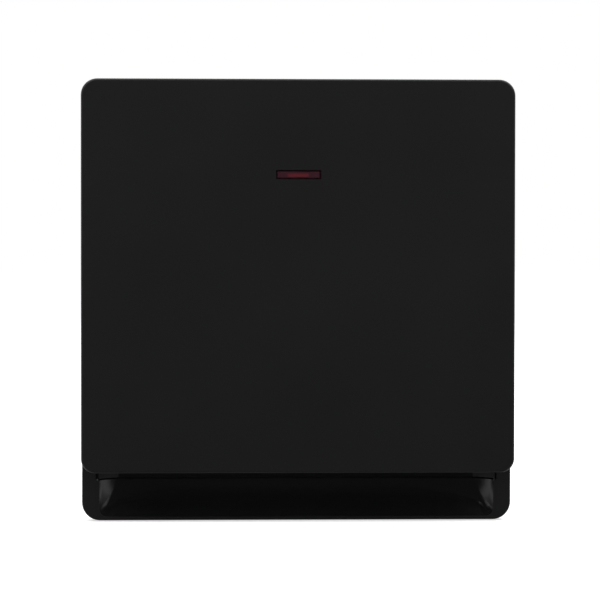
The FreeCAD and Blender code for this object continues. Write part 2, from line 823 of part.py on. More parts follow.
def mechanism_cover():
    cover = body("MechanismCover")
    gap = s.partGap
    thick = s.carrierThick
    flange = (s.openingWide / 2 + s.coverLap, s.openingHigh / 2 + s.coverLap)
    plug = (s.openingWide / 2 - gap, s.openingHigh / 2 - gap)
    pad(cover, "Flange", "y", cover_front, -thick, rect(both(flange[0]), both(flange[1])))
    pad(cover, "Plug", "y", -thick, as_size(0), rect(both(plug[0]), both(plug[1])))
    inside = rect(both(plug[0] - s.coverRim), both(plug[1] - s.coverRim))
    pocket(cover, "Inside", "y", -thick, as_size(0), inside)
    pad_disc(cover, "Well", "y", -thick, s.wellFloor, (0, 0), s.wellRadius + s.wellWall)
    for number, (x, z) in enumerate(post_spots):
        spot = (s.screwSide * x, s.screwHigh * z)
        pad_disc(cover, f"Post{number}", "y", -thick, as_size(0), spot, s.screwPost)
        pocket_disc(cover, f"Hole{number}", "y", cover_front - s.past, s.past, spot,
                    s.screwRadius + s.screwClear)
    pocket_disc(cover, "WellBore", "y", cover_front - s.past, as_size(0), (0, 0), s.wellRadius)
    pocket_disc(cover, "StemBore", "y", -s.past, s.wellFloor + s.past, (0, 0), s.stemRadius + s.stemFit)
    lamp_low = lens_high - s.lampRadius - s.lampClear
    relief = rect(both(s.lampLong / 2 + s.lampClear), (lamp_low, flange[1] + s.past))
    pocket(cover, "LampRelief", "y", cover_front - s.past, -s.lampOut + s.lampRadius + gap, relief)
    for name, sign in (("L", -1), ("R", 1)):
        spot = (s.leadSide * sign, s.leadHigh)
        pocket_disc(cover, "LeadHole" + name, "y", cover_front - s.past, s.past, spot,
                    s.leadRadius + s.leadClear)
        across = mirrored(s.bearingInner, s.bearingInner + s.bearingWide, sign)
        leg = rect(across, both(s.tumblerPin - s.seatFit))
        pad(cover, "Leg" + name, "y", -thick, s.tumblerIn - s.tumblerPin - s.seatFit, leg)
    return part(cover, "mechanism_cover")


def rear_housing():
    house = body("RearHousing")
    wide, high, wall = s.housingWide / 2, s.housingHigh / 2, s.housingWall
    pad(house, "Block", "y", as_size(0), s.housingDeep, rect(both(wide), both(high)))
    round_edges(house, "Corners", s.housingCorner, edges_at(house, x=wide, z=high))
    round_edges(house, "BackEdge", s.housingCorner / 2, edges_at(house, y=s.housingDeep))
    inner = rect(both(wide - wall), both(high - wall))
    pocket(house, "Inside", "y", as_size(0), inner_back, inner)
    barrier = rect(both(s.barrierWide / 2), both(high - wall))
    pad(house, "Barrier", "y", s.tumblerIn + s.tumblerHub + s.barrierClear, inner_back, barrier)
    for name, sign in (("L", -1), ("R", 1)):
        across = mirrored(s.bearingInner, s.bearingInner + s.bearingWide, sign)
        y = (s.tumblerIn - s.bearingHigh, inner_back)
        pad(house, "Bearing" + name, "x", *across, rect(y, both(s.bearingHigh)))
    hole = s.tumblerPin + s.pressFit
    reach = s.bearingInner + s.bearingWide + s.pinOver
    pocket_disc(house, "PinBore", "x", -reach, reach, (s.tumblerIn, 0), hole)
    pocket(house, "PinSlot", "x", -reach, reach,
           rect((s.tumblerIn - s.bearingHigh - s.past, s.tumblerIn), both(hole)))
    for number, (x, z) in enumerate(post_spots):
        spot = (s.screwSide * x, s.screwHigh * z)
        pad_disc(house, f"Post{number}", "y", as_size(0), inner_back, spot, s.screwPost)
        web = mirrored(s.screwSide, wide - wall / 2, x)
        pad(house, f"Web{number}", "y", as_size(0), inner_back,
            rect(web, (spot[1] - wall / 3, spot[1] + wall / 3)))
        pocket_disc(house, f"Pilot{number}", "y", as_size(0), s.screwLong, spot, s.screwRadius)
        clamp = (s.poleSide * x, clamp_high * z)
        sunk, outside = s.housingDeep - s.ringSink, s.housingDeep + s.past
        pocket_disc(house, f"ClampHole{number}", "y", inner_back - s.past, outside, clamp, s.entryRadius)
        pocket_disc(house, f"ClampRing{number}", "y", sunk, outside, clamp, s.ringRadius)
        cable = (s.poleSide * x, cable_in)
        end = mirrored(high - wall - s.past, high + s.past, z)
        pocket_disc(house, f"CableHole{number}", "z", *end, cable, s.entryRadius)
        ring = mirrored(high - s.ringSink, high + s.past, z)
        pocket_disc(house, f"CableRing{number}", "z", *ring, cable, s.ringRadius)
    panel = rect(both(s.panelWide / 2), both(s.panelHigh / 2))
    pocket(house, "Panel", "y", s.housingDeep - s.panelSink, s.housingDeep + s.past, panel)
    return part(house, "rear_housing")


def screws():
    made = []
    for number, (x, z) in enumerate(post_spots):
        spot = {"x": s.screwSide * x, "z": s.screwHigh * z}
        head = rod(f"HeadH{number}", "y", cover_front - s.screwHeadHigh, cover_front, s.screwHead, **spot)
        shank = rod(f"ShankH{number}", "y", cover_front, s.screwLong + cover_front, s.screwRadius, **spot)
        cross = box(f"CrossH{number}", (spot["x"] - s.screwHead, spot["x"] + s.screwHead),
                    (cover_front - s.screwHeadHigh, cover_front - s.screwHeadHigh + s.slotDeep),
                    (spot["z"] - s.slotCut / 2, spot["z"] + s.slotCut / 2))
        made.append(cut(f"HousingScrew{number}", fuse(f"BlankH{number}", head, shank), cross))
    part(group("HousingScrews", made), "housing_screws")
    made = []
    for number, (x, z) in enumerate(post_spots):
        spot = {"x": s.poleSide * x, "z": clamp_high * z}
        neck, rear = inner_back + s.clampRaise, s.housingDeep - s.clampSink
        shank = rod(f"ShankT{number}", "y", cable_in + s.cableRadius, neck,
                    s.clampRadius - s.clampFit, **spot)
        head = rod(f"HeadT{number}", "y", neck, rear, s.clampHead, **spot)
        cross = box(f"CrossT{number}", (spot["x"] - s.clampHead, spot["x"] + s.clampHead),
                    (rear - s.slotDeep, rear), (spot["z"] - s.slotCut / 2, spot["z"] + s.slotCut / 2))
        made.append(cut(f"TerminalScrew{number}", fuse(f"BlankT{number}", head, shank), cross))
    part(group("TerminalScrews", made), "terminal_screws")


def push_rod():
    rod_body = body("PushRod")
    pad_disc(rod_body, "Head", "y", push_front, push_under, (0, 0), s.headRadius)
    pad_disc(rod_body, "Stem", "y", push_under, s.stemEnd, (0, 0), s.stemRadius)
    fork = s.fingerThick / 2 + s.forkGap
    pocket(rod_body, "Fork", "y", s.fingerPivot - s.fingerEye - s.forkRoom, s.stemEnd + s.past,
           rect(both(fork), both(s.stemRadius + s.past)))
    pocket_disc(rod_body, "PinHole", "x", *both(s.stemRadius + s.past), (s.fingerPivot, 0),
                s.fingerPin + s.pressFit)
    part(rod_body, "push_rod")
    pin = rod("FingerPin", "x", *both(s.stemRadius - s.pinShort), s.fingerPin, y=s.fingerPivot)
    part(pin, "finger_pin")
    finger = body("PusherFinger")
    across = both(s.fingerThick / 2)
    reach = s.fingerPivot + s.fingerLong
    pad_disc(finger, "Eye", "x", *across, (s.fingerPivot, 0), s.fingerEye)
    pad(finger, "Blade", "x", *across, rect((s.fingerPivot, reach), both(s.fingerTip)))
    pad_disc(finger, "Tip", "x", *across, (reach, 0), s.fingerTip)
    pocket_disc(finger, "Bore", "x", *both(s.fingerThick), (s.fingerPivot, 0), s.fingerPin + s.pinFit)
    part(finger, "pusher_finger")


def tumbler():
    block = body("Tumbler")
    pad_disc(block, "Hub", "x", *both(s.tumblerLong / 2), (0, 0), s.tumblerHub)
    cam = [
        (s.camRear, -s.camNotchHigh),
        (0, -s.camHigh),
        (-s.camHorn, -s.camHigh),
        (-s.camHorn, -s.camHornHigh),
        (-s.camNotch, -s.camNotchHigh),
        (-s.camPeak, 0),
        (-s.camNotch, s.camNotchHigh),
        (-s.camHorn, s.camHornHigh),
        (-s.camHorn, s.camHigh),
        (0, s.camHigh),
        (s.camRear, s.camNotchHigh),
    ]
    pad(block, "Cam", "x", *both(s.camWide / 2), cam)
    for name, x in poles.items():
        pad_disc(block, "Barrel" + name, "y", as_size(0), s.barrelLong, (x, 0), s.barrelRadius)
    pocket_disc(block, "PinBore", "x", *both(s.tumblerLong), (0, 0), s.tumblerPin + s.pinFit)
    for name, x in poles.items():
        pocket_disc(block, "Bore" + name, "y", s.tumblerPin + s.boreFloor, s.barrelLong + s.past, (x, 0),
                    s.plungerRadius + s.plungerFit)
    part(block, "tumbler", (0, s.tumblerIn, 0), -s.tumblerTilt)
    reach = s.bearingInner + s.bearingWide + s.pinOver
    part(rod("TumblerPin", "x", *both(reach), s.tumblerPin, y=s.tumblerIn), "tumbler_pin")


def coil(name, radius, wire, turns, length):
    """A wire wound about the Y axis, as arcs that each meet the next one smoothly."""
    steps = round(turns * 4)
    rise = length / steps
    turn = math.pi / 2

    def spot(number):
        angle = number * turn
        return Vec(radius * math.cos(angle), number * rise, radius * math.sin(angle))

    def heading(number):
        angle = number * turn
        return Vec(-radius * math.sin(angle) * turn, rise, radius * math.cos(angle) * turn).normalize()

    def arc(first, corner, last):
        chord = last - first
        lean = chord.getAngle(corner - first)
        middle = (first + last) / 2
        height = chord.Length / 2 * math.tan(lean / 2)
        return Part.Arc(first, middle + (corner - middle).normalize() * height, last).toShape()

    edges = []
    for number in range(steps):
        first, last = spot(number), spot(number + 1)
        out, on = heading(number), heading(number + 1)
        span = last - first
        lean = span.dot(out + on)
        spread = 2 * (1 - out.dot(on))
        leg = (-lean + math.sqrt(lean**2 + spread * span.dot(span))) / spread
        corners = (first + out * leg, last - on * leg)
        joint = (corners[0] + corners[1]) / 2
        edges += [arc(first, corners[0], joint), arc(joint, corners[1], last)]
    path = Part.Wire(edges)
    section = Part.Wire(Part.Circle(spot(0), heading(0), wire).toShape())
    item = doc.addObject("Part::Feature", name)
    item.Shape = Part.Solid(path.makePipeShell([section], True, False))
    gap = length / turns - 2 * wire
    print(f"{name}: {turns:.0f} turns, least gap between turns {gap:.2f} mm")
    return item


def springs():
    room = -push_under
    margin = s.pushWire + s.coilSlack
    spring = coil("PushSpring", s.pushCoil.value, s.pushWire.value, s.pushTurns.value,
                  (room - 2 * margin).value)
    part(spring, "push_spring", (0, push_under + margin, 0))
    base = s.tumblerPin + s.boreFloor
    margin = s.contactWire + s.coilSlack
    length = (s.plungerReach - s.plungerRadius - base - 2 * margin).value
    for name, x in poles.items():
        spring = coil(f"ContactSpring{name}", s.contactCoil.value, s.contactWire.value,
                      s.contactTurns.value, length)
        offset = base + margin
        spot = (x, s.tumblerIn + offset * cosine(s.tumblerTilt), -offset * sine(s.tumblerTilt))
        part(spring, f"contact_spring_{name}", spot, -s.tumblerTilt)


def contact_plungers():
    for name, x in poles.items():
        nose = s.plungerReach - s.plungerRadius
        shank = rod(f"PlungerShank{name}", "y", s.plungerStart, nose, s.plungerRadius)
        ball = doc.addObject("Part::Sphere", f"PlungerNose{name}")
        bind(ball, "Radius", s.plungerRadius)
        bind(ball, "Placement.Base.y", nose)
        bore = rod(f"PlungerBore{name}", "y", s.plungerStart - s.past, nose, s.plungerBore)
        made = cut(f"Plunger{name}", fuse(f"PlungerBlank{name}", shank, ball), bore)
        part(made, f"contact_plunger_{name}", (x, s.tumblerIn, 0), -s.tumblerTilt)


def moving_contacts():
    for name, x in poles.items():
        strip = body(f"Seesaw{name}")
        lean, thick, arm = s.seesawTilt, s.seesawThick, s.seesawArm
        end = (-arm * sine(lean), arm * cosine(lean))
        tip = (end[0] - thick * cosine(lean), end[1] - thick * sine(lean))
        profile = [
            (0, 0),
            end,
            tip,
            (-thick / cosine(lean), 0),
            (tip[0], -tip[1]),
            (end[0], -end[1]),
        ]
        pad(strip, f"Strip{name}", "x", *both(s.seesawWide / 2), profile)
        pad_disc(strip, f"Bead{name}", "x", *both(s.seesawWide / 2), (0, 0), s.beadRadius)
        part(strip, f"moving_contact_{name}", (x, seesaw_in, 0), s.seesawTilt)
        button = rod(f"MovingSilver{name}", "y", 0, s.silverThick, s.silverRadius)
        # The lifted arm stands at twice the tilt from the wall plane
        swing, square = 2 * s.seesawTilt, s.rightAngle
        spot = (x, seesaw_in - s.silverAt * sine(swing), s.silverAt * cosine(swing))
        button.Placement = FreeCAD.Placement(Vec(), Turn(Vec(1, 0, 0), (swing - square).value))
        bind(button, "Placement.Rotation.Angle", swing - square)
        part(button, f"moving_silver_{name}", spot)


def terminals():
    wide = s.blockWide / 2
    strip = s.seesawWide / 2
    made = []
    for name, x in poles.items():
        span = (x - wide, x + wide)
        for duty, sign in (("load", 1), ("supply", -1)):
            tag = duty + name
            z = mirrored(s.blockLow, block_high, sign)
            block = box("Block" + tag, span, (block_front, inner_back), z)
            cable = rod("Cable" + tag, "z", z[0] - s.past, z[1] + s.past, s.cableRadius, x=x, y=cable_in)
            clamp = rod("Clamp" + tag, "y", cable_in, inner_back + s.past, s.clampRadius,
                        x=x, z=clamp_high * sign)
            across = (x - strip, x + strip)
            metal, bores = [block], [cable, clamp]
            if duty == "load":
                reach = (s.silverAt - s.silverRadius - s.stripOver, s.blockLow)
                metal.append(box("Strip" + tag, across, (strip_in, inner_back), reach))
            else:
                metal.append(box("Strip" + tag, across, (strip_in, inner_back), (-s.blockLow, s.saddleHalf)))
                saddle = seesaw_in + s.contactGap
                metal.append(box("Saddle" + tag, across, (saddle, strip_in), both(s.saddleHalf)))
                rest = (-s.restAt - s.restHalf, -s.restAt + s.restHalf)
                metal.append(box("Rest" + tag, across, (saddle, strip_in), rest))
                bores.append(rod("Groove" + tag, "x", across[0] - s.past, across[1] + s.past,
                                 s.beadRadius + s.contactGap, y=seesaw_in))
            part(cut("Terminal" + tag, fuse("Metal" + tag, *metal), *bores), f"{duty}_terminal_{name}")
        made.append(rod(f"FixedSilver{name}", "y", silver_in, strip_in, s.silverRadius, x=x, z=s.silverAt))
    part(group("FixedSilver", made), "fixed_silver_contacts")


def bent_wire(points, radius, bend):
    """A round wire along straight runs joined by arcs of one bend radius."""
    edges = []
    start = points[0]
    for before, corner, after in zip(points, points[1:], points[2:]):
        inward = (before - corner).normalize()
        onward = (after - corner).normalize()
        half_angle = inward.getAngle(onward) / 2
        leg = bend / math.tan(half_angle)
        first, last = corner + inward * leg, corner + onward * leg
        depth = bend / math.sin(half_angle) - bend
        middle = corner + (inward + onward).normalize() * depth
        edges += [Part.LineSegment(start, first).toShape(), Part.Arc(first, middle, last).toShape()]
        start = last
    edges.append(Part.LineSegment(start, points[-1]).toShape())
    section = Part.Wire(Part.Circle(points[0], points[1] - points[0], radius).toShape())
    return Part.Solid(Part.Wire(edges).makePipeShell([section], True, False))


def indicator_lamp():
    lamp = rod("NeonLamp", "x", *both(s.lampLong / 2), s.lampRadius, y=-s.lampOut, z=lens_high)
    part(lamp, "neon_lamp")
    spot = {"x": s.leadSide, "z": s.leadHigh}
    resistor = rod("NeonResistor", "y", s.resistorIn, s.resistorIn + s.resistorLong, s.resistorRadius, **spot)
    part(resistor, "neon_resistor")
    radius, bend = s.leadRadius.value, s.leadBend.value
    high, low = lens_high.value, s.leadHigh.value
    out, side = -s.lampOut.value, s.leadSide.value
    near = s.lampLong.value / 2
    back = block_front.value
    ends = (back, s.resistorIn.value)
    solids = []
    for sign, end in zip((-1, 1), ends):
        points = [
            Vec(sign * near, out, high),
            Vec(sign * side, out, high),
            Vec(sign * side, out, low),
            Vec(sign * side, end, low),
        ]
        solids.append(bent_wire(points, radius, bend))
    tail_start = (s.resistorIn + s.resistorLong).value
    tail = Part.makeCylinder(radius, back - tail_start, Vec(side, tail_start, low), Vec(0, 1, 0))
    leads = doc.addObject("Part::Feature", "LampLeads")
    leads.Shape = Part.Compound(solids + [tail])
    part(leads, "lamp_leads")


rocker_plate()
indicator_lens()
light_guide()
rocker_cradle()
hinge_pins()
surround_frame()
carrier_plate()
mechanism_cover()
rear_housing()
screws()
push_rod()
tumbler()
springs()
contact_plungers()
moving_contacts()
terminals()
indicator_lamp()
doc.recompute()

for item in doc.Objects:
    if {"Invalid", "Error"} & set(item.State):
        raise RuntimeError(f"{item.Name} ({item.Label}) failed: {item.State}")
for item in parts:
    if item.Shape.isNull() or not item.Shape.isValid():
        raise RuntimeError(f"{item.Label} has no sound shape")

os.makedirs("parts", exist_ok=True)
for item in parts:
    item.Shape.exportStep(f"parts/{item.Label}.step")
    extent = item.Shape.BoundBox
    print(f"{item.Label}: {len(item.Shape.Solids)} solids, {item.Shape.Volume:.1f} mm3, "
          f"x {extent.XMin:.2f} {extent.XMax:.2f}, y {extent.YMin:.2f} {extent.YMax:.2f}, "
          f"z {extent.ZMin:.2f} {extent.ZMax:.2f}")
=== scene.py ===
import bmesh
import bpy
import json
import math
from mathutils import Matrix, Vector


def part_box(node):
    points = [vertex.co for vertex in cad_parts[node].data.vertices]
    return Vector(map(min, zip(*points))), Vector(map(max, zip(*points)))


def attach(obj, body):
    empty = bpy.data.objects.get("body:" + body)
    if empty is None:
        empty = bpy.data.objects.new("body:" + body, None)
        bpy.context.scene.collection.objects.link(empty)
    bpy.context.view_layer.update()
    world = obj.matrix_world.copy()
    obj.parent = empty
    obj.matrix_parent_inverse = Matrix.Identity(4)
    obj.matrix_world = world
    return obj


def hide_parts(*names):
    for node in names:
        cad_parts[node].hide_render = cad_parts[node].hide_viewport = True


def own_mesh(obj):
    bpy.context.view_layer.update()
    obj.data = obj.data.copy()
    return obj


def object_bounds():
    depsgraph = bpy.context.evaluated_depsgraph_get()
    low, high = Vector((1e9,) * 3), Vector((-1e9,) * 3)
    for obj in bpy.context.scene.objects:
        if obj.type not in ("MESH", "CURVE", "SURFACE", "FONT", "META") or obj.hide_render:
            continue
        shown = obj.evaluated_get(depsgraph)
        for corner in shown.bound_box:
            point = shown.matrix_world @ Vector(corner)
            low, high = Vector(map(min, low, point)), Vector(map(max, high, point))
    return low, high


# Dresses the double pole switch: a finish for every part, wound springs, screw threads,
# the electrodes of the lamp, and the studio. Metres; X right, Y into the wall, Z up.

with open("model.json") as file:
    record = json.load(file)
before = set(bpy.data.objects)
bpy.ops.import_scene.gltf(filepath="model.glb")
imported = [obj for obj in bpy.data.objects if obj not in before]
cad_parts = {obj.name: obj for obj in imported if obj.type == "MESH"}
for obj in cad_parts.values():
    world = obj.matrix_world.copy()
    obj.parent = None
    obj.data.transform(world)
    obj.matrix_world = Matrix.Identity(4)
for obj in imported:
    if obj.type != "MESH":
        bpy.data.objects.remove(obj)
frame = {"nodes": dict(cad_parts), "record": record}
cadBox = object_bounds()
nodes = frame["nodes"]
mm = 0.001
print("frame loaded:", len(nodes), "parts")


# Small helpers for node trees

def wire(tree, start, end):
    tree.links.new(start, end)


def feed(tree, value, socket):  # wires in another node's output, or sets a plain value
    if isinstance(value, bpy.types.NodeSocket):
        wire(tree, value, socket)
    else:
        socket.default_value = value


def mathNode(tree, operation, *values, clamp=False):
    node = tree.nodes.new("ShaderNodeMath")
    node.operation = operation
    node.use_clamp = clamp
    for value, socket in zip(values, node.inputs):
        feed(tree, value, socket)
    return node.outputs[0]


def product(tree, *values):
    result = values[0]
    for value in values[1:]:
        result = mathNode(tree, "MULTIPLY", result, value)
    return result


def mapRange(tree, value, low, high, outLow, outHigh, smooth=True):
    node = tree.nodes.new("ShaderNodeMapRange")
    node.interpolation_type = "SMOOTHSTEP" if smooth else "LINEAR"
    names = ("Value", "From Min", "From Max", "To Min", "To Max")
    for name, number in zip(names, (value, low, high, outLow, outHigh)):
        feed(tree, number, node.inputs[name])
    return node.outputs["Result"]


def splitPlace(tree, place):  # gives outputs named X, Y and Z
    node = tree.nodes.new("ShaderNodeSeparateXYZ")
    wire(tree, place, node.inputs[0])
    return node.outputs


def noise(tree, place, scale, detail, rough):
    node = tree.nodes.new("ShaderNodeTexNoise")
    for name, value in (("Vector", place), ("Scale", scale), ("Detail", detail), ("Roughness", rough)):
        feed(tree, value, node.inputs[name])
    return node.outputs["Fac"]


def mixColour(tree, amount, first, second):
    node = tree.nodes.new("ShaderNodeMix")
    node.data_type = "RGBA"
    for value, socket in ((amount, node.inputs[0]), (first, node.inputs[6]), (second, node.inputs[7])):
        feed(tree, (*value, 1.0) if isinstance(value, tuple) else value, socket)
    return node.outputs[2]


def newGroup(name, inputs, outputs):
    tree = bpy.data.node_groups.new(name, "ShaderNodeTree")
    tree.interface.new_socket("Vector", in_out="INPUT", socket_type="NodeSocketVector")
    for label, value in inputs.items():
        kind = "NodeSocketVector" if isinstance(value, tuple) else "NodeSocketFloat"
        tree.interface.new_socket(label, in_out="INPUT", socket_type=kind).default_value = value
    for label in outputs:
        tree.interface.new_socket(label, in_out="OUTPUT", socket_type="NodeSocketFloat")
    return tree, tree.nodes.new("NodeGroupInput").outputs, tree.nodes.new("NodeGroupOutput").inputs


# Effects that several finishes share

grainForm = {"fineDetail": 3.0, "fineRough": 0.6, "cloudDetail": 2.0, "cloudRough": 0.5, "cloudShare": 0.6}


def makeMouldGrain(form):  # fine grain and slow clouds of a moulding
    tree, given, out = newGroup(
        "mouldGrain",
        {"Grain Scale": 5200.0, "Cloud Scale": 60.0, "Shade Spread": 0.08, "Roughness": 0.42,
         "Roughness Spread": 0.05},
        ("Shade", "Roughness", "Height"))
    grain = noise(tree, given["Vector"], given["Grain Scale"], form["fineDetail"], form["fineRough"])
    cloud = noise(tree, given["Vector"], given["Cloud Scale"], form["cloudDetail"], form["cloudRough"])
    swing = mathNode(tree, "MULTIPLY_ADD", cloud, 2.0, -1.0)
    both = mathNode(tree, "ADD", mathNode(tree, "SUBTRACT", grain, 0.5), product(tree, swing, form["cloudShare"]))
    spread = product(tree, both, given["Roughness Spread"])
    wire(tree, mathNode(tree, "MULTIPLY_ADD", swing, given["Shade Spread"], 1.0), out["Shade"])
    wire(tree, mathNode(tree, "ADD", given["Roughness"], spread, clamp=True), out["Roughness"])
    wire(tree, grain, out["Height"])
    return tree


tarnishForm = {"patchDetail": 4.0, "patchRough": 0.6, "patchFrom": 0.42, "patchTo": 0.68, "patchDull": 0.25,
               "streakDetail": 2.0, "streakRough": 0.6, "streakStretch": (1.0, 0.06, 1.0), "streakWear": 0.22}


def makeTarnish(form):  # dull patches and drawn streaks of bare metal
    tree, given, out = newGroup(
        "tarnish",
        {"Patch Scale": 260.0, "Streak Scale": 2600.0, "Amount": 0.5, "Roughness": 0.28},
        ("Mask", "Roughness", "Height"))
    patch = noise(tree, given["Vector"], given["Patch Scale"], form["patchDetail"], form["patchRough"])
    stretch = tree.nodes.new("ShaderNodeMapping")
    stretch.inputs["Scale"].default_value = form["streakStretch"]
    wire(tree, given["Vector"], stretch.inputs["Vector"])
    streak = noise(tree, stretch.outputs[0], given["Streak Scale"], form["streakDetail"], form["streakRough"])
    mask = product(tree, mapRange(tree, patch, form["patchFrom"], form["patchTo"], 0.0, 1.0), given["Amount"])
    worn = product(tree, mathNode(tree, "SUBTRACT", streak, 0.5), form["streakWear"])
    dull = product(tree, mask, form["patchDull"])
    total = mathNode(tree, "ADD", mathNode(tree, "ADD", worn, dull), given["Roughness"], clamp=True)
    wire(tree, mask, out["Mask"])
    wire(tree, total, out["Roughness"])
    wire(tree, streak, out["Height"])
    return tree


def makePinMark():  # the faint sunk disc and ring that an ejector pin leaves in a moulding
    tree, given, out = newGroup(
        "pinMark",
        {"Centre": (0.0, 0.0, 0.0), "Radius": 1.5 * mm, "Line": 0.09 * mm, "Ring Depth": 0.8, "Disc Depth": 0.35},
        ("Depth",))
    gap = tree.nodes.new("ShaderNodeVectorMath")
    gap.operation = "DISTANCE"
    wire(tree, given["Vector"], gap.inputs[0])
    wire(tree, given["Centre"], gap.inputs[1])
    away = mathNode(tree, "SUBTRACT", gap.outputs["Value"], given["Radius"])
    ring = mapRange(tree, mathNode(tree, "ABSOLUTE", away), 0.0, given["Line"], 1.0, 0.0)
    disc = mapRange(tree, away, 0.0, given["Line"], 1.0, 0.0)
    ringDepth = product(tree, ring, given["Ring Depth"])
    wire(tree, mathNode(tree, "ADD", ringDepth, product(tree, disc, given["Disc Depth"])), out["Depth"])
    return tree


mouldGrain, tarnish, pinMark = makeMouldGrain(grainForm), makeTarnish(tarnishForm), makePinMark()
print("shared effects ready")


# Finishes

def startFinish(name):
    finish = bpy.data.materials.new(name)
    finish.use_nodes = True
    tree = finish.node_tree
    place = tree.nodes.new("ShaderNodeTexCoord").outputs["Object"]
    return finish, tree, tree.nodes["Principled BSDF"], place


def placeGroup(tree, group, place, **values):
    node = tree.nodes.new("ShaderNodeGroup")
    node.node_tree = group
    wire(tree, place, node.inputs["Vector"])
    for name, value in values.items():
        node.inputs[name.replace("_", " ")].default_value = value
    return node.outputs


def addBump(tree, target, height, strength, distance):
    bump = tree.nodes.new("ShaderNodeBump")
    bump.inputs["Strength"].default_value = strength
    bump.inputs["Distance"].default_value = distance
    wire(tree, height, bump.inputs["Height"])
    wire(tree, bump.outputs["Normal"], target.inputs["Normal"])
    return bump


def shaded(tree, colour, shade):
    node = tree.nodes.new("ShaderNodeVectorMath")
    node.operation = "SCALE"
    node.inputs[0].default_value = colour
    wire(tree, shade, node.inputs["Scale"])
    return node.outputs[0]


def startMoulding(name, look):  # a moulded finish without its bump
    finish, tree, shader, place = startFinish(name)
    grain = placeGroup(tree, mouldGrain, place, Grain_Scale=look["grainScale"], Cloud_Scale=look["cloudScale"],
                       Shade_Spread=look["shadeSpread"], Roughness=look["roughness"],
                       Roughness_Spread=look["roughSpread"])
    wire(tree, shaded(tree, look["colour"], grain["Shade"]), shader.inputs["Base Color"])
    wire(tree, grain["Roughness"], shader.inputs["Roughness"])
    shader.inputs["Specular IOR Level"].default_value = look["gloss"]
    return finish, tree, shader, place, grain


def makeMoulding(name, look):
    finish, tree, shader, place, grain = startMoulding(name, look)
    height = grain["Height"]
    for spot in look.get("pinMarks", ()):
        mark = placeGroup(tree, pinMark, place, Centre=spot, Radius=look["pinRadius"])
        height = mathNode(tree, "SUBTRACT", height, mark["Depth"])
    addBump(tree, shader, height, look["bump"], look["bumpDepth"])
    return finish


def makeMetal(name, look):
    finish, tree, shader, place = startFinish(name)
    wear = placeGroup(tree, tarnish, place, Patch_Scale=look["patchScale"], Streak_Scale=look["streakScale"],
                      Amount=look["tarnish"], Roughness=look["roughness"])
    wire(tree, mixColour(tree, wear["Mask"], look["colour"], look["tarnished"]), shader.inputs["Base Color"])
    wire(tree, wear["Roughness"], shader.inputs["Roughness"])
    shader.inputs["Metallic"].default_value = 1.0
    addBump(tree, shader, wear["Height"], look["bump"], look["bumpDepth"])
    return finish


def pinSpots(across, deep, heights):
    return [(x * mm, deep * mm, z * mm) for x in across for z in heights]


plateLook = {"colour": (0.0078, 0.0078, 0.0080), "grainScale": 5200.0, "cloudScale": 45.0, "shadeSpread": 0.10,
             "roughness": 0.44, "roughSpread": 0.05, "gloss": 0.5, "bump": 0.35, "bumpDepth": 0.01 * mm}
# the scoop shade factor below is painted shade: it darkens the colour inside the scoop
surroundLook = {**plateLook, "colour": (0.0104, 0.0104, 0.0106), "roughness": 0.43, "gloss": 0.42,
                "scoopRoughness": 0.2, "scoopPaintedShade": 0.8, "scoopSoft": 0.15 * mm, "scoopSide": 39.5 * mm,
                "scoopTop": -34.2 * mm, "scoopBottom": -43.5 * mm, "scoopFront": -4.93 * mm,
                "wallSide": 39.6 * mm, "wallFront": -5.0 * mm, "wallDeep": 3.9 * mm, "wallLean": 3.8 * mm,
                "easeHigh": 0.77 * mm, "easeFrom": 0.07, "easeTo": 2.6, "rimHigh": 0.14 * mm, "rimShare": 0.25,
                "wallFoot": -42.6 * mm, "wallFull": -36.6 * mm}
innerLook = {**plateLook, "colour": (0.006, 0.006, 0.0062), "roughness": 0.5, "grainScale": 3000.0, "bump": 0.5,
             "pinRadius": 1.6 * mm, "pinMarks": pinSpots((-33.5, 33.5), -1.0, (-30.5, 28.5))}
whiteLook = {"colour": (0.72, 0.71, 0.67), "grainScale": 2600.0, "cloudScale": 90.0, "shadeSpread": 0.04,
             "roughness": 0.38, "roughSpread": 0.06, "gloss": 0.45, "bump": 0.25, "bumpDepth": 0.01 * mm}
greyLook = {"colour": (0.105, 0.107, 0.112), "grainScale": 2200.0, "cloudScale": 70.0, "shadeSpread": 0.08,
            "roughness": 0.46, "roughSpread": 0.08, "gloss": 0.45, "bump": 0.5, "bumpDepth": 0.015 * mm,
            "pinRadius": 1.5 * mm, "pinMarks": pinSpots((-20.5, 20.5), 26.6, (-11.0, 11.0))}
steelLook = {"colour": (0.56, 0.57, 0.58), "tarnished": (0.42, 0.38, 0.30), "patchScale": 320.0,
             "streakScale": 2600.0, "tarnish": 0.35, "roughness": 0.3, "bump": 0.25, "bumpDepth": 0.02 * mm}
springLook = {**steelLook, "colour": (0.42, 0.42, 0.43), "roughness": 0.25}
silverLook = {**steelLook, "colour": (0.86, 0.85, 0.82), "tarnished": (0.45, 0.42, 0.36), "patchScale": 700.0,
              "streakScale": 3200.0, "tarnish": 0.3, "roughness": 0.34, "bump": 0.2}
copperLook = {**steelLook, "colour": (0.80, 0.42, 0.26), "tarnished": (0.36, 0.17, 0.10), "patchScale": 300.0,
              "streakScale": 2400.0, "tarnish": 0.5}
brassLook = {**steelLook, "colour": (0.78, 0.58, 0.26), "tarnished": (0.42, 0.29, 0.12), "patchScale": 240.0,
             "streakScale": 1800.0, "tarnish": 0.45, "bump": 0.35}


